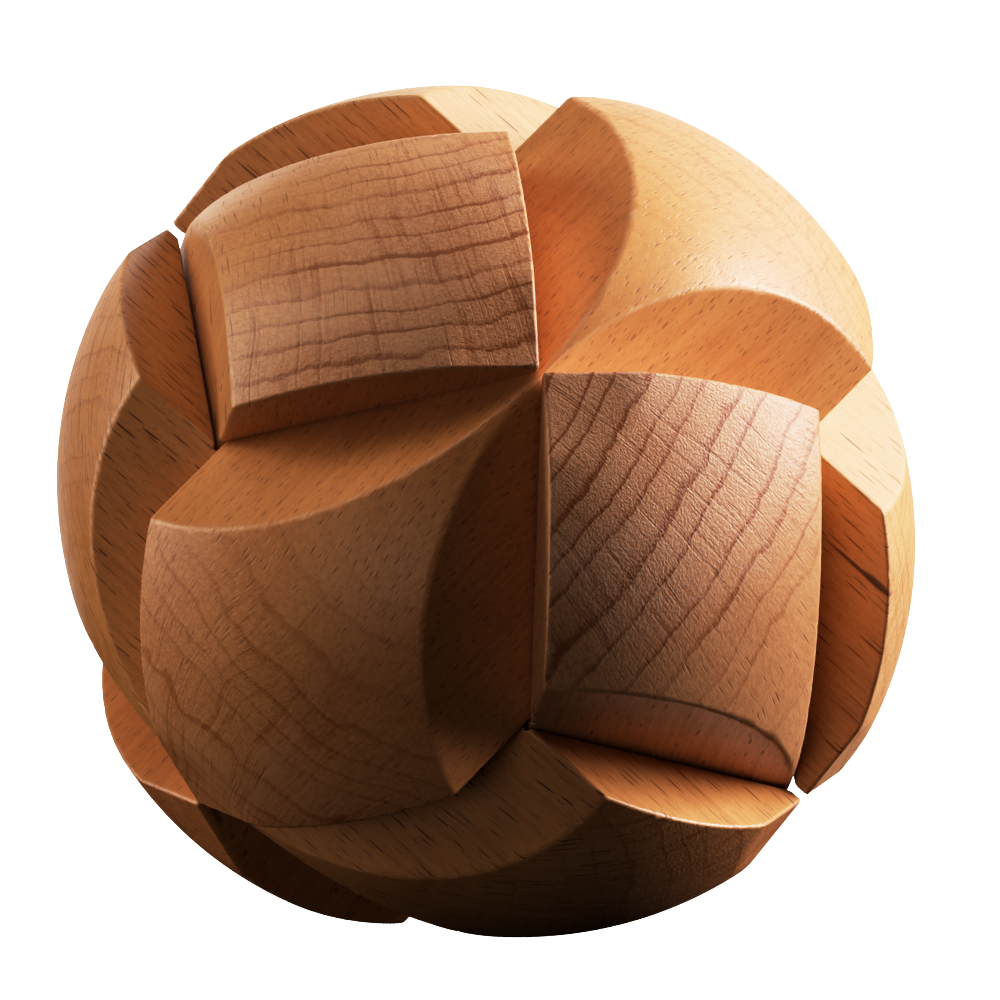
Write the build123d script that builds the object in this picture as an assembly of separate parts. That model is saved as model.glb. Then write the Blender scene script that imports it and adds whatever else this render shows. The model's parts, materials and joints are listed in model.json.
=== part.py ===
from build123d import *
import os
from math import sqrt

# A wooden ball burr puzzle: six square bars, each turned 45 degrees about its own length, cross in
# three pairs at the middle, and the outside is turned to a ball. Each bar's own part of the ball is
# a little longer along the bar than across it, and the blank's flat ends show at its tips. All sizes
# are in millimetres.
#
# Puzzle frame: the two X bars run along x with their axes at y = +-PITCH, the two Y bars run along
# y at z = +-PITCH, and the two Z bars run along z at x = +-PITCH. Every bar's inner edge passes
# through the ball's centre. Part frame: +Z up, origin at the ball's centre, and the ball stands on
# three corners round a threefold axis, which is the part's Z axis.

# Driving dimensions
BALL_LENGTH = 77.2  # along a bar, if its ends came to a full curve
BALL_WAIST = 71.6  # across the bar, over the back of it and of the bar opposite
BLANK_LENGTH = 75.0  # of the square stick that a bar is turned from
PITCH_SIDE = 25.6  # side of the square space that each bar takes up
FIT_GAP = 0.30  # gap between two bars' facing flats

# Derived dimensions
PITCH = PITCH_SIDE / sqrt(2)  # a bar's axis is half its diagonal from the centre
BAR_SIDE = PITCH_SIDE - FIT_GAP
NOTCH_SIDE = PITCH_SIDE + FIT_GAP
CUTTER_LENGTH = 2 * BALL_LENGTH  # a notch cutter passes right through the ball

# The puzzle frame's x and z axes, seen in the part frame
PUZZLE_X = (1 / sqrt(2), 1 / sqrt(6), 1 / sqrt(3))
PUZZLE_Z = (1 / sqrt(2), -1 / sqrt(6), -1 / sqrt(3))
PUZZLE = Plane(origin=(0, 0, 0), x_dir=PUZZLE_X, z_dir=PUZZLE_Z)

# Each bar's run and the side of the centre that its axis lies on
RUNS = {
    "x": ((1, 0, 0), (0, 1, 0)),
    "y": ((0, 1, 0), (0, 0, 1)),
    "z": ((0, 0, 1), (1, 0, 0)),
}
BARS = {
    "key_bar": ("x", 1),
    "base_bar": ("x", -1),
    "lower_cross_bar": ("y", 1),
    "upper_cross_bar": ("y", -1),
    "right_side_bar": ("z", 1),
    "left_side_bar": ("z", -1),
}

# The bars that each bar is notched for. The key bar has no notch, so it slides straight out.
NOTCHED_FOR = {
    "key_bar": (),
    "base_bar": ("right_side_bar", "left_side_bar"),
    "lower_cross_bar": ("key_bar", "base_bar"),
    "upper_cross_bar": ("key_bar", "base_bar"),
    "right_side_bar": ("lower_cross_bar", "upper_cross_bar", "key_bar"),
    "left_side_bar": ("lower_cross_bar", "upper_cross_bar", "key_bar"),
}


def square_stick(name, side, length):
    """A square stick along the named bar's axis, turned so that one edge meets the ball's centre."""
    run, side_of = RUNS[BARS[name][0]]
    offset = BARS[name][1] * PITCH
    centre = tuple(offset * s for s in side_of)
    section = Plane(origin=centre, x_dir=side_of, z_dir=run)
    square = section * Rectangle(side, side, rotation=45)
    return extrude(square, amount=length / 2, both=True)


def turned_form(name):
    """The solid that the bar is turned to: half an ellipse spun round a line through the ball's centre."""
    run, side_of = RUNS[BARS[name][0]]
    half_length, half_waist = BALL_LENGTH / 2, BALL_WAIST / 2
    half_plane = Pos(0, half_waist / 2) * Rectangle(BALL_LENGTH, half_waist)
    profile = Ellipse(half_length, half_waist) & half_plane
    away = Vector(side_of) * -BARS[name][1]  # the form's seam is on the side away from the bar
    plane = Plane(origin=(0, 0, 0), x_dir=run, z_dir=Vector(run).cross(away))
    return revolve(plane * profile, axis=Axis((0, 0, 0), run))


def puzzle_bar(name):
    """One finished bar in the puzzle frame: turned to the ball, then notched for its neighbours."""
    bar = square_stick(name, BAR_SIDE, BLANK_LENGTH) & turned_form(name)
    for neighbour in NOTCHED_FOR[name]:
        bar -= square_stick(neighbour, NOTCH_SIDE, CUTTER_LENGTH)
    return bar


def in_part_frame(bar):
    """The bar's single solid, moved from the puzzle frame to the part frame."""
    return bar.solid().moved(PUZZLE.location)


os.makedirs("parts", exist_ok=True)
for bar_name in BARS:
    export_step(in_part_frame(puzzle_bar(bar_name)), f"parts/{bar_name}.step")
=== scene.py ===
import json
import math

import bpy
import numpy as np
from mathutils import Matrix, Vector


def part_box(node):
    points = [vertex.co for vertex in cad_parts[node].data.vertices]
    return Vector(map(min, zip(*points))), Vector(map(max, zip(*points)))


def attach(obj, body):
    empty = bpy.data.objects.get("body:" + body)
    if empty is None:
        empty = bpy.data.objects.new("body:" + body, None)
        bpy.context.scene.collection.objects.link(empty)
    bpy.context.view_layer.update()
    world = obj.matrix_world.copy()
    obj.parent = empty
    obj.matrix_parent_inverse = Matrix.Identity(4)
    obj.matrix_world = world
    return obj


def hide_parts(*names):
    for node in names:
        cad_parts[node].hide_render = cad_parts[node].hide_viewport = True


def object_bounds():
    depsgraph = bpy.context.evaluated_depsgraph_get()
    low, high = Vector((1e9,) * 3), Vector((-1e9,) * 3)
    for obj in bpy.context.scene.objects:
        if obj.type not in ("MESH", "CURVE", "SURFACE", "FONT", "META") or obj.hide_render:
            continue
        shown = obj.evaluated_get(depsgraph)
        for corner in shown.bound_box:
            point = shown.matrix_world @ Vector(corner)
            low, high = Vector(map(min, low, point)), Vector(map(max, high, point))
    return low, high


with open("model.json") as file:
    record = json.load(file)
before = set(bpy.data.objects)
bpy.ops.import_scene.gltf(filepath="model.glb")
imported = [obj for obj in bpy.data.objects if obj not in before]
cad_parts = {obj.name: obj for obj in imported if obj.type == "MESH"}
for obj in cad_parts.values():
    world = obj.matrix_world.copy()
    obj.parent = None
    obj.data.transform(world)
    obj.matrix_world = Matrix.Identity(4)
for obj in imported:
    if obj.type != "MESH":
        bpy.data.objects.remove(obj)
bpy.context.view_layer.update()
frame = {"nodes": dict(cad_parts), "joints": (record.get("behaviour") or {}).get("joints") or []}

# A wooden ball burr puzzle: six square beech bars, each turned 45 degrees about its own length,
# turned to a ball outside. Lengths below are in millimetres, and the meshes are in metres.
MM = 0.001

# Which of the puzzle's three directions each bar runs along, and the side of the centre it is on.
BARS = {
    "key_bar": (0, 1),
    "base_bar": (0, -1),
    "lower_cross_bar": (1, 1),
    "upper_cross_bar": (1, -1),
    "right_side_bar": (2, 1),
    "left_side_bar": (2, -1),
}
NOTCHED_FOR = {
    "key_bar": (),
    "base_bar": ("right_side_bar", "left_side_bar"),
    "lower_cross_bar": ("key_bar", "base_bar"),
    "upper_cross_bar": ("key_bar", "base_bar"),
    "right_side_bar": ("lower_cross_bar", "upper_cross_bar", "key_bar"),
    "left_side_bar": ("lower_cross_bar", "upper_cross_bar", "key_bar"),
}

# Sizes from the frame. The lower cross bar's flats face along X, so its box gives the bars' side.
low_corner, high_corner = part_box("lower_cross_bar")
HALF_GAP = low_corner.x / MM
PITCH_SIDE = (low_corner.x + high_corner.x) / MM
PITCH = PITCH_SIDE / math.sqrt(2)
BAR_SIDE = PITCH_SIDE - 2 * HALF_GAP
NOTCH_SIDE = PITCH_SIDE + 2 * HALF_GAP

# The puzzle's directions in the frame, from the ways that two of its bars slide.
slide_ways = {joint["name"]: Vector(joint["axis"]) for joint in frame["joints"]}
PUZZLE_X = slide_ways["key_bar_slide"].normalized()
PUZZLE_Z = -slide_ways["base_bar_spread"].normalized()
PUZZLE_Y = PUZZLE_Z.cross(PUZZLE_X)
PUZZLE = np.array([PUZZLE_X, PUZZLE_Y, PUZZLE_Z])  # its rows are the directions

# The key bar runs along X on the Y side, so its corners give the ball's waist, half the blank's
# length, and, from the rim of its flat end, how far the ball would reach if it weren't cut flat.
key_points = np.array([vertex.co for vertex in frame["nodes"]["key_bar"].data.vertices]) @ PUZZLE.T / MM
HALF_BLANK, HALF_WAIST = key_points[:, :2].max(axis=0)
end_points = key_points[key_points[:, 0] > HALF_BLANK - 0.01]
END_RADIUS = np.linalg.norm(end_points[:, 1:], axis=1).max()
HALF_LENGTH = HALF_BLANK / math.sqrt(1 - (END_RADIUS / HALF_WAIST) ** 2)

# How finely the bars are made and how their edges are worn
CELL = 0.27
EDGE_RADIUS = 0.22
NOTCH_EDGE_RADIUS = 0.15
SLOPE_STEP = 0.02  # for measuring the field's slope
RAY_HALF_WIDTH = 0.085

# Each bar's wood. pith: how far the tree's middle is from the bar's axis, and way, in degrees round
# the bar from its first flat. lean: how much the pith wanders, mm per mm along. bend: how far the
# rings stray, in mm. ring: from one ring to the next. figure, pale and relief: how strong the rings,
# how pale the wood and how deep the grain is on an end. dash: how far apart the ray dashes are, across
# and along, and half their length. tone: how dark they are. light and dark: the wood's two colours.
WOODS = {
    "key_bar": dict(pith=62, way=225, lean=0.03, bend=7.0, ring=2.5, figure=0.4, pale=0.2, relief=0.35,
                    dash=(0.44, 1.6, 0.50), tone=0.45, light=(218, 161, 104), dark=(165, 106, 51), seed=3),
    "base_bar": dict(pith=70, way=160, lean=-0.02, bend=5.0, ring=2.6, figure=0.12, pale=0.1, relief=0.5,
                     dash=(0.60, 1.9, 0.65), tone=0.6, light=(206, 147, 90), dark=(149, 86, 41), seed=11),
    "lower_cross_bar": dict(pith=62, way=236, lean=0.02, bend=4.0, ring=2.5, figure=1.0, pale=0.5,
                            relief=0.9, dash=(0.80, 2.6, 0.90), tone=0.5, light=(218, 172, 125),
                            dark=(151, 96, 55), seed=23),
    "upper_cross_bar": dict(pith=78, way=183, lean=-0.02, bend=4.0, ring=2.3, figure=0.8, pale=0.45,
                            relief=0.8, dash=(0.70, 2.4, 0.85), tone=0.5, light=(213, 162, 107),
                            dark=(151, 95, 50), seed=37),
    "right_side_bar": dict(pith=66, way=38, lean=0.03, bend=3.0, ring=2.6, figure=0.4, pale=0.25,
                           relief=0.5, dash=(0.85, 3.4, 1.90), tone=0.75, light=(222, 176, 124),
                           dark=(169, 112, 57), seed=41),
    "left_side_bar": dict(pith=58, way=218, lean=0.03, bend=3.0, ring=2.4, figure=0.3, pale=0.25,
                          relief=0.6, dash=(0.72, 2.5, 1.45), tone=0.85, light=(212, 159, 101),
                          dark=(159, 101, 49), seed=59),
}
PALE_END = (206, 166, 137)  # dry end grain, where the wood is pale
PAINTED_END_SHEEN = (232, 206, 184)  # a painted whitish sheen on rough end grain, in place of the lamps' gloss there
RUBBED_EDGE_AND_HIGHLIGHT = (240, 200, 156)  # rubbed edges, partly a painted highlight where the rounded edges catch light
# Dark streaks in the wood: where, along the bar and toward its two flats, and their half sizes
STREAKS = {
    "right_side_bar": (((28.6, -12.6, 7.02), (4.9, 1.5, 0.26)), ((30.6, -12.6, 7.12), (2.2, 1.5, 0.48))),
}


def soft_noise(points, cell, seed):
    """Smooth noise from -1 to 1 at each point, with features about as large as cell."""
    table = np.random.default_rng(seed).uniform(-1, 1, (16, 16, 16))
    scaled = points / np.asarray(cell, float)
    whole = np.floor(scaled).astype(int)
    part = scaled - whole
    part = part * part * (3 - 2 * part)
    total = np.zeros(len(points))
    for corner in np.ndindex(2, 2, 2):
        weight = np.prod(np.where(corner, part, 1 - part), axis=1)
        i, j, k = ((whole + corner) % 16).T
        total += weight * table[i, j, k]
    return total


def bar_axes(name):
    """The bar's directions in the puzzle: its run and the two ways that its flats face."""
    run, side = BARS[name]
    along, outward, across = np.eye(3)[[run, (run + 1) % 3, (run + 2) % 3]]
    first = (outward - across) / math.sqrt(2)
    second = (outward + across) / math.sqrt(2)
    centre = outward * side * PITCH
    return along, first, second, centre


def stick(points, name, side):
    """How far each point is outside the two pairs of flats of a square stick."""
    _, first, second, centre = bar_axes(name)
    offset = points - centre
    return [abs(offset @ first) - side / 2, abs(offset @ second) - side / 2]


def meet(fields, radius):
    """The field of what all the fields share, with its edges rounded."""
    past = sum(np.maximum(f + radius, 0) ** 2 for f in fields)
    return np.minimum(np.maximum.reduce(fields), -radius) + np.sqrt(past)


def bar_fields(points, name):
    """The fields of the turned stick, and those of its notches, before they are combined."""
    run, _ = BARS[name]
    turned = stick(points, name, BAR_SIDE)
    half_sizes = np.full(3, HALF_WAIST)
    half_sizes[run] = HALF_LENGTH
    turned.append((np.linalg.norm(points / half_sizes, axis=1) - 1) * HALF_WAIST)
    turned.append(abs(points[:, run]) - HALF_BLANK)
    notches = [-np.maximum(*stick(points, other, NOTCH_SIDE)) for other in NOTCHED_FOR[name]]
    return turned, notches


def bar_field(points, name, radius=EDGE_RADIUS):
    """Below 0 inside the finished bar, whose outer edges have the given radius."""
    turned, notches = bar_fields(points, name)
    body = meet(turned, radius)
    return meet([body, *notches], NOTCH_EDGE_RADIUS) if notches else body


def worn_radius(points, name):
    """How round the bar's outer edges are near each point: uneven, and torn here and there."""
    seed = WOODS[name]["seed"]
    along, first, second, _ = bar_axes(name)
    grain = points @ np.array([along, first, second]).T
    torn = np.maximum(soft_noise(grain, (2.4, 0.6, 0.6), seed) - 0.2, 0)
    return EDGE_RADIUS * (1 + 0.3 * soft_noise(points, 4.0, seed + 1) + 1.6 * torn)


def slope(points, name):
    """The worn bar's field at each point, and the way that it grows."""
    radius = worn_radius(points, name)
    ways = []
    for step in np.eye(3) * SLOPE_STEP:
        ways.append(bar_field(points + step, name, radius) - bar_field(points - step, name, radius))
    return bar_field(points, name, radius), np.stack(ways, axis=1) / (2 * SLOPE_STEP)


def grid_points(name):
    """A grid of points round the bar, in its own directions, and the grid's shape."""
    along, first, second, centre = bar_axes(name)
    middle = [0.0, centre @ first, centre @ second]
    half = [HALF_BLANK + 2 * CELL, BAR_SIDE / 2 + 2 * CELL, BAR_SIDE / 2 + 2 * CELL]
    lines = [np.arange(m - h, m + h + CELL, CELL) for m, h in zip(middle, half)]
    grid = np.stack(np.meshgrid(*lines, indexing="ij"), axis=-1)
    return grid.reshape(-1, 3) @ np.array([along, first, second]), grid.shape[:3]


def surface_net(points, values, shape):
    """The vertices and quads of the surface where the values on a grid pass through 0."""
    places = points.reshape(*shape, 3)
    values = values.reshape(shape)
    inside = values < 0
    cells = tuple(n - 1 for n in shape)

    def corner(array, shift):
        return array[tuple(slice(s, s + n) for s, n in zip(shift, cells))]

    count = sum(corner(inside, shift).astype(int) for shift in np.ndindex(2, 2, 2))
    mixed = (count > 0) & (count < 8)
    number = np.full(cells, -1)
    number[mixed] = np.arange(mixed.sum())
    total = np.zeros((mixed.sum(), 3))
    crossings = np.zeros(mixed.sum())
    for start in np.ndindex(2, 2, 2):
        for axis in range(3):
            if start[axis]:
                continue
            end = tuple(s + (i == axis) for i, s in enumerate(start))
            a, b = corner(values, start)[mixed], corner(values, end)[mixed]
            crossed = (a < 0) != (b < 0)
            share = np.where(crossed, a / np.where(crossed, a - b, 1), 0)[:, None]
            place = corner(places, start)[mixed] * (1 - share) + corner(places, end)[mixed] * share
            total += np.where(crossed[:, None], place, 0)
            crossings += crossed
    quads = []
    for axis in range(3):
        u, v = (axis + 1) % 3, (axis + 2) % 3
        near = [slice(1, n) for n in cells]
        near[axis] = slice(0, cells[axis])
        far = list(near)
        far[axis] = slice(1, cells[axis] + 1)
        leaving = inside[tuple(near)] & ~inside[tuple(far)]
        entering = ~inside[tuple(near)] & inside[tuple(far)]
        for crossed, order in ((leaving, (0, 1, 2, 3)), (entering, (3, 2, 1, 0))):
            at = np.argwhere(crossed)
            at[:, u] += 1
            at[:, v] += 1
            ring = []
            for du, dv in ((1, 1), (0, 1), (0, 0), (1, 0)):
                cell = at.copy()
                cell[:, u] -= du
                cell[:, v] -= dv
                ring.append(number[tuple(cell.T)])
            quads.append(np.stack([ring[i] for i in order], axis=1))
    return total / crossings[:, None], np.concatenate(quads)


def add_values(mesh, name, values):
    """A named value or vector on each vertex, which the material reads."""
    kind = "FLOAT" if values.ndim == 1 else "FLOAT_VECTOR"
    layer = mesh.attributes.new(name, kind, "POINT")
    layer.data.foreach_set("value" if kind == "FLOAT" else "vector", values.astype(np.float32).ravel())


def bar_places(points, name):
    """Each point's place in the bar: along it from its middle, and from its axis toward its flats."""
    along, first, second, centre = bar_axes(name)
    return np.stack([points @ along, (points - centre) @ first, (points - centre) @ second], axis=1)


def build_bar(name):
    """The bar as a fine mesh with worn edges, its normals taken from the shape itself."""
    points, shape = grid_points(name)
    points, quads = surface_net(points, bar_field(points, name), shape)
    for _ in range(4):
        field, way = slope(points, name)
        size = np.maximum((way ** 2).sum(axis=1), 0.2)
        points = points - np.clip(field / size, -CELL, CELL)[:, None] * way
    _, way = slope(points, name)
    normals = way / np.linalg.norm(way, axis=1)[:, None]
    mesh = bpy.data.meshes.new(name + "_wood")
    mesh.from_pydata(points @ PUZZLE * MM, [], quads.tolist())
    mesh.shade_smooth()
    mesh.normals_split_custom_set_from_vertices(normals @ PUZZLE)
    add_values(mesh, "place", bar_places(points, name))
    add_values(mesh, "end_grain", abs(normals @ bar_axes(name)[0]))
    piece = bpy.data.objects.new(name + "_wood", mesh)
    bpy.context.collection.objects.link(piece)
    return piece


def linear(colour):
    """A display colour from 0 to 255 as the light values that a shader takes."""
    parts = [c / 255 for c in colour]
    return tuple(c / 12.92 if c <= 0.04045 else ((c + 0.055) / 1.055) ** 2.4 for c in parts) + (1.0,)


class Wires:
    """A short way to write a material's nodes: each call adds one and returns its output."""

    def __init__(self, tree):
        self.tree = tree

    def put(self, socket, value):
        if isinstance(value, bpy.types.NodeSocket):
            self.tree.links.new(value, socket)
        else:
            socket.default_value = value

    def node(self, kind, inputs, **settings):
        made = self.tree.nodes.new(kind)
        for key, value in settings.items():
            setattr(made, key, value)
        for key, value in inputs.items():
            self.put(made.inputs[key], value)
        return made

    def attribute(self, name, output):
        return self.node("ShaderNodeAttribute", {}, attribute_name=name).outputs[output]

    def math(self, operation, *values, clamp=False):
        inputs = dict(enumerate(values))
        return self.node("ShaderNodeMath", inputs, operation=operation, use_clamp=clamp).outputs[0]

    def vector(self, operation, *values):
        made = self.node("ShaderNodeVectorMath", dict(enumerate(values)), operation=operation)
        return made.outputs["Value" if operation in ("LENGTH", "DOT_PRODUCT") else "Vector"]

    def noise(self, vector, scale, detail, offset=0.0):
        """Noise of the given features per millimetre along each axis; its value and its colour."""
        moved = self.vector("MULTIPLY_ADD", vector, scale, (offset, offset, offset))
        inputs = {"Vector": moved, "Scale": 1.0, "Detail": detail, "Roughness": 0.55}
        made = self.node("ShaderNodeTexNoise", inputs)
        return made.outputs["Fac"], made.outputs["Color"]

    def spread(self, value, low, high, to_low=0.0, to_high=1.0, smooth=True):
        inputs = {"Value": value, "From Min": low, "From Max": high, "To Min": to_low, "To Max": to_high}
        kind = "SMOOTHSTEP" if smooth else "LINEAR"
        return self.node("ShaderNodeMapRange", inputs, interpolation_type=kind).outputs["Result"]

    def mix(self, share, a, b, blend="MIX"):
        made = self.node("ShaderNodeMix", {}, data_type="RGBA", blend_type=blend)
        self.put(made.inputs[0], share)
        self.put(made.inputs[6], a)
        self.put(made.inputs[7], b)
        return made.outputs[2]


def tree_place(wires, place, wood):
    """Millimetres along the grain, out from the pith and round it, from a place in the bar."""
    way, lean = math.radians(wood["way"]), wood["lean"]
    side, front = math.cos(way), math.sin(way)
    outward = (-lean * (side + 0.5 * front), -side, -front)
    sideways = (-lean * (front - 0.5 * side), -front, side)
    across = {
        "X": wires.node("ShaderNodeSeparateXYZ", {"Vector": place}).outputs["X"],
        "Y": wires.math("ADD", wires.vector("DOT_PRODUCT", place, outward), wood["pith"]),
        "Z": wires.vector("DOT_PRODUCT", place, sideways),
    }
    straight = wires.node("ShaderNodeCombineXYZ", across).outputs[0]
    _, bend = wires.noise(straight, (0.02, 0.05, 0.05), 2.0, float(wood["seed"]))
    bend = wires.vector("MULTIPLY", wires.vector("SUBTRACT", bend, (0.5, 0.5, 0.5)),
                        (0, wood["bend"], wood["bend"]))
    bent = wires.vector("ADD", straight, bend)
    split = wires.node("ShaderNodeSeparateXYZ", {"Vector": bent})
    turn = wires.math("ARCTAN2", split.outputs["Z"], split.outputs["Y"])
    inputs = {
        "X": split.outputs["X"],
        "Y": wires.vector("LENGTH", wires.vector("MULTIPLY", bent, (0, 1, 1))),
        "Z": wires.math("MULTIPLY", turn, wood["pith"]),
    }
    return wires.node("ShaderNodeCombineXYZ", inputs).outputs[0]


def growth_rings(wires, place, wood):
    """Faint bands, each ending in a thin dark line, at uneven distances from the pith."""
    seed = float(wood["seed"])
    out = wires.node("ShaderNodeSeparateXYZ", {"Vector": place}).outputs["Y"]
    ripple, _ = wires.noise(place, (0.12, 0.25, 0.34), 2.0, seed)
    flat = wires.node("ShaderNodeCombineXYZ", {"X": out, "Y": seed}).outputs[0]
    uneven, _ = wires.noise(flat, (0.16, 1, 1), 1.0)
    count = wires.math("MULTIPLY_ADD", uneven, 2.6, wires.math("DIVIDE", out, wood["ring"]))
    part = wires.math("FRACT", wires.math("MULTIPLY_ADD", ripple, 0.5, count))
    start = wires.spread(part, 0.76, 0.92)
    stop = wires.spread(part, 0.955, 0.995, 1.0, 0.0)
    line = wires.math("MULTIPLY", start, stop)
    strength, _ = wires.noise(place, (0.05, 0.4, 0.06), 1.0, seed + 9)
    line = wires.math("MULTIPLY", line, wires.spread(strength, 0.35, 0.6, 0.45, 1.0))
    band = wires.math("MULTIPLY", wires.math("POWER", part, 2.0), 0.25)
    return wires.math("ADD", line, band), line


def ray_dashes(wires, place, apart, half_size, chance):
    """Rays that meet a flat: thin dark dashes along the grain, one to a cell at most."""
    split = wires.node("ShaderNodeSeparateXYZ", {"Vector": place})
    inputs = {"X": wires.math("DIVIDE", split.outputs["Z"], apart[0]),
              "Y": wires.math("DIVIDE", split.outputs["X"], apart[1])}
    spot = wires.node("ShaderNodeCombineXYZ", inputs).outputs[0]
    made = wires.node("ShaderNodeTexVoronoi", {"Vector": spot, "Scale": 1.0}, voronoi_dimensions="2D")
    colour = wires.node("ShaderNodeSeparateColor", {"Color": made.outputs["Color"]})
    offset = wires.vector("SUBTRACT", spot, made.outputs["Position"])
    offset = wires.vector("MULTIPLY", offset, (apart[0] / half_size[0], apart[1] / half_size[1], 0))
    size = wires.spread(colour.outputs[0], 0, 1, 0.45, 1.15, smooth=False)
    near = wires.math("DIVIDE", wires.vector("LENGTH", offset), size)
    dash = wires.spread(near, 0.45, 1.0, 1.0, 0.0)
    kept = wires.spread(colour.outputs[1], 1 - chance, 1 - 0.3 * chance, 0.0, 1.0, smooth=False)
    return wires.math("MULTIPLY", dash, kept)


def rubbed_and_highlit_rim(wires, place, name, fibre):
    """How much rubbed wear and painted edge highlight the surface gets: most at the bar's outer edges, and
    ragged along them.
    """
    _, first, second, centre = bar_axes(name)
    split = wires.node("ShaderNodeSeparateXYZ", {"Vector": wires.vector("ABSOLUTE", place)})
    flats = [wires.math("SUBTRACT", split.outputs[axis], BAR_SIDE / 2) for axis in "YZ"]
    from_middle = wires.vector("ADD", place, (0, centre @ first, centre @ second))
    stretch = HALF_WAIST / HALF_LENGTH
    reach = wires.vector("LENGTH", wires.vector("MULTIPLY", from_middle, (stretch, 1, 1)))
    ball = wires.math("SUBTRACT", reach, HALF_WAIST)
    nearer, farther = wires.math("MAXIMUM", *flats), wires.math("MINIMUM", *flats)
    second_nearest = wires.math("MAXIMUM", farther, wires.math("MINIMUM", nearer, ball))
    ragged = wires.spread(fibre, 0.3, 0.7, -0.28, 0.12, smooth=False)
    patches, _ = wires.noise(place, (0.25, 0.25, 0.25), 1.0, float(WOODS[name]["seed"]))
    rim = wires.spread(wires.math("ADD", second_nearest, ragged), -0.28, -0.02)
    return wires.math("MULTIPLY", rim, wires.spread(patches, 0.4, 0.6, 0.15, 0.55))


def add_streaks(wires, colour, place, name, deep):
    """The bar's dark streaks over its colour."""
    for centre, half in STREAKS.get(name, ()):
        offset = wires.vector("SUBTRACT", place, centre)
        far = wires.vector("LENGTH", wires.vector("DIVIDE", offset, half))
        colour = wires.mix(wires.spread(far, 0.4, 1.0, 0.9, 0.0), colour, deep)
    return colour


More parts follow.
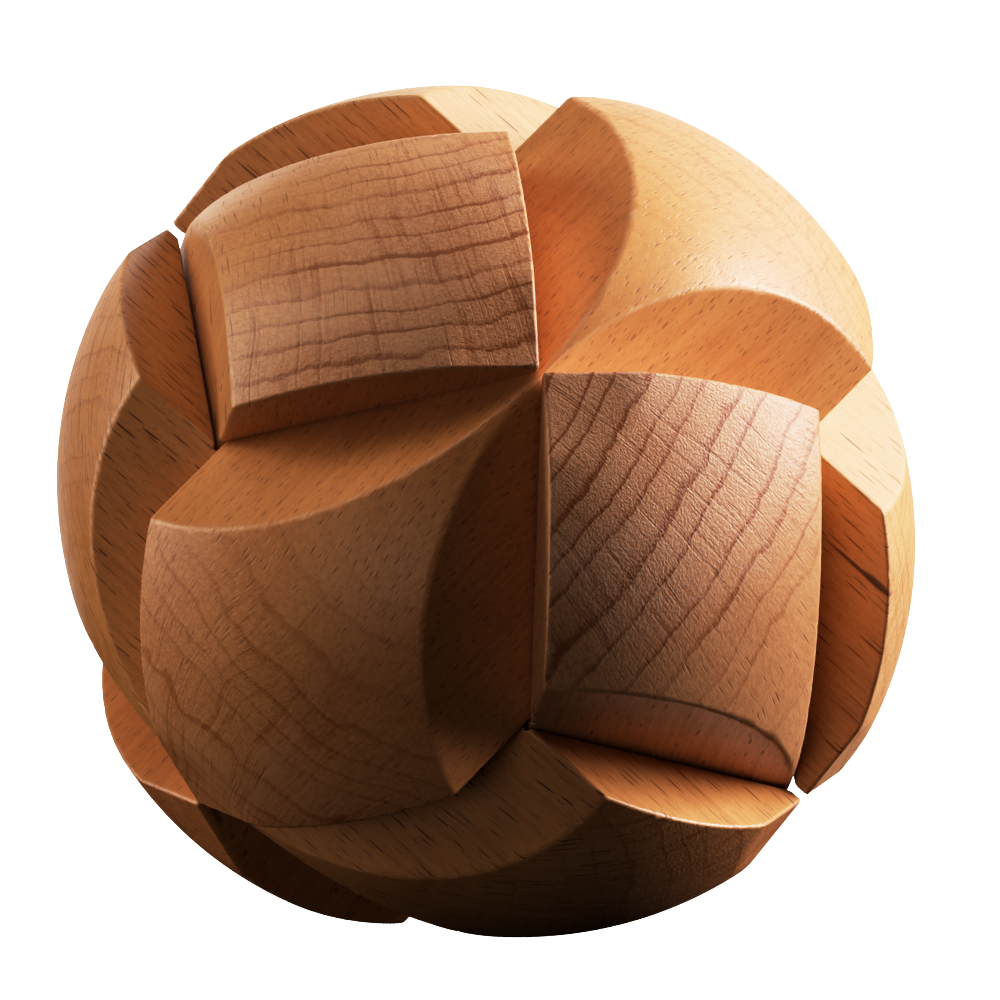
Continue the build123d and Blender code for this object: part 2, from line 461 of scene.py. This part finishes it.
def beech(name):
    """Solid beech: rings, rays, fibres and pores that run through the bar, so every cut shows them."""
    material = bpy.data.materials.new("beech_" + name)
    material.use_nodes = True
    tree = material.node_tree
    tree.nodes.clear()
    wires = Wires(tree)
    wood = WOODS[name]
    seed = float(wood["seed"])
    deep = linear([0.5 * c for c in wood["dark"]])
    bar_place = wires.attribute("place", "Vector")
    place = tree_place(wires, bar_place, wood)
    rings, line = growth_rings(wires, place, wood)
    across, along, half_length = wood["dash"]
    dashes = ray_dashes(wires, place, (across, along), (RAY_HALF_WIDTH, half_length), 0.9)
    specks = ray_dashes(wires, place, (0.34, 1.0), (0.04, 0.36), 0.7)
    streak, _ = wires.noise(place, (0.20, 0.045, 1.35), 2.0, seed)
    hair, _ = wires.noise(place, (0.30, 0.07, 4.2), 1.0, seed + 3)
    fibre, _ = wires.noise(place, (0.08, 2.4, 2.4), 3.0, seed)
    pore, _ = wires.noise(place, (0.7, 7.0, 7.0), 2.0, seed)
    speckle, _ = wires.noise(place, (1.4, 4.2, 4.2), 1.5, seed + 7)
    cloud, _ = wires.noise(place, (0.02, 0.09, 0.09), 2.0, seed + 5)
    on_end = wires.spread(wires.attribute("end_grain", "Fac"), 0.45, 0.95)

    ring_share = wires.spread(on_end, 0, 1, 0.10, wood["figure"], smooth=False)
    dark_share = wires.math("MULTIPLY", rings, ring_share)
    dark_share = wires.math("ADD", dark_share, wires.spread(fibre, 0.3, 0.7, -0.10, 0.20, smooth=False))
    dark_share = wires.math("ADD", dark_share, wires.spread(cloud, 0.3, 0.7, -0.02, 0.24))
    ray_line = wires.math("ADD", wires.spread(streak, 0.56, 0.64, 0.0, 0.3),
                          wires.spread(hair, 0.54, 0.66, 0.0, 0.2))
    ray_line = wires.math("ADD", ray_line, wires.spread(speckle, 0.35, 0.65, -0.18, 0.22, smooth=False))
    dark_share = wires.math("MULTIPLY_ADD", ray_line, on_end, dark_share)
    dark_share = wires.math("MAXIMUM", wires.math("MINIMUM", dark_share, 1.0), 0.0)
    end_share = wires.math("MULTIPLY", on_end, wood["pale"])
    light = wires.mix(end_share, linear(wood["light"]), linear(PALE_END))
    colour = wires.mix(dark_share, light, linear(wood["dark"]))
    # Painted sheen: whitish patches mixed into the end grain's colour, in place of the glossy sheen that
    # the lamps give there.
    painted_sheen, _ = wires.noise(place, (0.03, 0.07, 0.07), 1.0, seed + 13)
    painted_sheen = wires.math("MULTIPLY", wires.spread(painted_sheen, 0.48, 0.66), wires.spread(speckle, 0.42, 0.62))
    painted_sheen = wires.math("MULTIPLY", painted_sheen, end_share)
    colour = wires.mix(painted_sheen, colour, linear(PAINTED_END_SHEEN))

    on_flat = wires.math("MULTIPLY_ADD", on_end, -0.8 * wood["figure"], 1.0)
    marks = wires.math("MAXIMUM", dashes, wires.math("MULTIPLY", specks, 0.45))
    marks = wires.math("MULTIPLY", marks, on_flat)
    colour = wires.mix(wires.math("MULTIPLY", marks, wood["tone"]), colour, deep)
    pits = wires.math("MULTIPLY", wires.spread(pore, 0.58, 0.72, 0.0, 0.25), on_flat)
    colour = wires.mix(pits, colour, deep)
    # The pale rim is partly rubbed wear and partly a painted highlight where the rounded edges catch
    # light.
    edge_wear_and_highlight = rubbed_and_highlit_rim(wires, bar_place, name, fibre)
    colour = wires.mix(edge_wear_and_highlight, colour, linear(RUBBED_EDGE_AND_HIGHLIGHT))
    colour = add_streaks(wires, colour, bar_place, name, deep)

    groove = wires.math("ADD", wires.spread(streak, 0.55, 0.63, 0.0, 0.7),
                        wires.spread(hair, 0.54, 0.66, 0.0, 0.3))
    rough_end = wires.math("SUBTRACT", wires.math("MULTIPLY", speckle, 2.4), groove)
    rough_end = wires.math("MULTIPLY", rough_end, wires.math("MULTIPLY", on_end, wood["relief"]))
    height = wires.math("MULTIPLY_ADD", line, -0.5 * wood["figure"], wires.math("MULTIPLY", pore, 0.5))
    height = wires.math("MULTIPLY_ADD", marks, -0.7, height)
    height = wires.math("ADD", wires.math("MULTIPLY_ADD", fibre, 0.5, height), rough_end)
    bump = wires.node("ShaderNodeBump", {"Height": height, "Strength": 0.5, "Distance": 0.00006})
    rough = wires.spread(pore, 0.3, 0.7, 0.33, 0.45, smooth=False)
    rough = wires.math("MULTIPLY_ADD", on_end, 0.1, rough)
    rough = wires.math("MULTIPLY_ADD", marks, 0.12, rough)
    skin = wires.node("ShaderNodeBsdfPrincipled", {
        "Base Color": colour,
        "Roughness": rough,
        "Normal": bump.outputs["Normal"],
        "IOR": 1.5,
    })
    output = wires.node("ShaderNodeOutputMaterial", {"Surface": skin.outputs[0]})
    output.is_active_output = True
    return material


def add_bars():
    """One worn, solid beech bar for each CAD bar."""
    for name in WOODS:
        piece = build_bar(name)
        piece.data.materials.append(beech(name))
        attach(piece, name)
        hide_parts(name)


# The camera: round from the front, above the table, tipped, its distance in metres, and the share of
# the picture's width that a bar's full length takes. The aim is right of and above the ball's centre.
AZIMUTH, ELEVATION, ROLL = math.radians(-8.2), math.radians(16.3), math.radians(1.9)
CAMERA_DISTANCE = 1.9
BAR_SHARE = 0.888
AIM_RIGHT, AIM_UP = 1.22, 0.98
SENSOR = 36.0
FLOOR_REACH, LAMP_DISTANCE = 12.0, 0.80  # metres
BACKDROP = 4.0  # the floor's and the sky's own light, which the view shows as white
GAMMA = 0.74
# The view's curve, as light and how bright it is shown: straight at first, then a soft shoulder.
SHOULDER = ((0.25, 0.25), (0.5, 0.5), (0.8, 0.72), (1.1, 0.83), (1.6, 0.935), (2.4, 0.985))
# Each softbox: its azimuth, elevation, width, height and strength, as add_light describes them,
# and the colour of its light.
LAMP_COLOUR = (1.0, 0.83, 0.75)
LAMPS = {
    "key_lamp": (-7, 25, 20, 40, 10.2, (1.0, 0.81, 0.80)),
    "rim_lamp": (-46, 35, 30, 34, 1.3, (1.0, 0.92, 0.92)),
    "left_lamp": (-173, 12, 26, 50, 3.85, LAMP_COLOUR),
    "high_lamp": (135, 60, 40, 40, 1.05, LAMP_COLOUR),
    "top_back_lamp": (-90, 60, 40, 40, 0.7, LAMP_COLOUR),
    "front_lamp": (116, -8, 36, 24, 0.58, LAMP_COLOUR),
    "rear_lamp": (-95, 15, 40, 40, 1.6, LAMP_COLOUR),
}


def camera_ways():
    """The camera's right, up and backward directions."""
    back = Vector((math.sin(AZIMUTH) * math.cos(ELEVATION), -math.cos(AZIMUTH) * math.cos(ELEVATION),
                   math.sin(ELEVATION)))
    right = Vector((0, 0, 1)).cross(back).normalized()
    up = back.cross(right)
    turned_right = right * math.cos(ROLL) + up * math.sin(ROLL)
    turned_up = up * math.cos(ROLL) - right * math.sin(ROLL)
    return turned_right, turned_up, back


def add_camera():
    right, up, back = camera_ways()
    data = bpy.data.cameras.new("camera")
    data.sensor_width = SENSOR
    data.lens = SENSOR * CAMERA_DISTANCE * BAR_SHARE / (2 * HALF_LENGTH * MM)
    data.clip_start, data.clip_end = 0.01, 100
    camera = bpy.data.objects.new("camera", data)
    aim = (right * AIM_RIGHT + up * AIM_UP) * MM
    turn = Matrix((right, up, back)).transposed().to_4x4()
    camera.matrix_world = Matrix.Translation(aim + back * CAMERA_DISTANCE) @ turn
    bpy.context.collection.objects.link(camera)
    bpy.context.scene.camera = camera


def add_light(name, azimuth, elevation, width, height, strength, colour):
    """A softbox aimed at the ball, in camera directions.

    azimuth is from the camera's right towards the camera, in degrees, and elevation is above that.
    Its width and height are in degrees as the ball sees them, and strength is its light there.
    """
    right, up, back = camera_ways()
    turn, lift = math.radians(azimuth), math.radians(elevation)
    level = right * math.cos(turn) + back * math.sin(turn)
    way = level * math.cos(lift) + up * math.sin(lift)
    side = up.cross(way).normalized()
    data = bpy.data.lights.new(name, "AREA")
    data.shape = "RECTANGLE"
    data.size = 2 * LAMP_DISTANCE * math.tan(math.radians(width / 2))
    data.size_y = 2 * LAMP_DISTANCE * math.tan(math.radians(height / 2))
    data.energy, data.color = strength * math.pi * LAMP_DISTANCE ** 2, colour
    lamp = bpy.data.objects.new(name, data)
    facing = Matrix((side, way.cross(side), way)).transposed().to_4x4()
    lamp.matrix_world = Matrix.Translation(way * LAMP_DISTANCE) @ facing
    bpy.context.collection.objects.link(lamp)


def add_stage():
    """A plain pale floor under the ball, soft lamps and a pale sky."""
    low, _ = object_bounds()
    mesh = bpy.data.meshes.new("floor")
    corners = [(x * FLOOR_REACH, y * FLOOR_REACH, low.z) for x, y in ((-1, -1), (1, -1), (1, 1), (-1, 1))]
    mesh.from_pydata(corners, [], [(0, 1, 2, 3)])
    floor = bpy.data.objects.new("floor", mesh)
    bpy.context.collection.objects.link(floor)
    material = bpy.data.materials.new("floor_paint")
    material.use_nodes = True
    skin = material.node_tree.nodes["Principled BSDF"]
    skin.inputs["Base Color"].default_value = (0.86, 0.86, 0.86, 1)
    skin.inputs["Roughness"].default_value = 0.8
    skin.inputs["Emission Color"].default_value = (1, 1, 1, 1)
    skin.inputs["Emission Strength"].default_value = BACKDROP
    mesh.materials.append(material)
    floor.visible_diffuse = False
    floor.visible_glossy = False
    for name, lamp in LAMPS.items():
        add_light(name, *lamp)
    world = bpy.data.worlds.new("sky")
    world.use_nodes = True
    sky = world.node_tree.nodes["Background"]
    sky.inputs["Color"].default_value = (1, 1, 1, 1)
    sky.inputs["Strength"].default_value = BACKDROP
    bpy.context.scene.world = world
    world.cycles_visibility.diffuse = False
    world.cycles_visibility.glossy = False


def develop():
    """A plain view with its contrast raised, and a shoulder that keeps bright wood from burning out."""
    view = bpy.context.scene.view_settings
    view.view_transform = "Standard"
    view.gamma = GAMMA
    view.use_curve_mapping = True
    mapping = view.curve_mapping
    mapping.clip_max_x, mapping.clip_max_y = BACKDROP, 1.0
    curve = mapping.curves[3]
    curve.points[1].location = (BACKDROP, 1.0)
    for light, shown in SHOULDER:
        curve.points.new(light, shown)
    for point in curve.points:
        point.handle_type = "AUTO_CLAMPED"
    mapping.update()


add_camera()
add_bars()
add_stage()
develop()
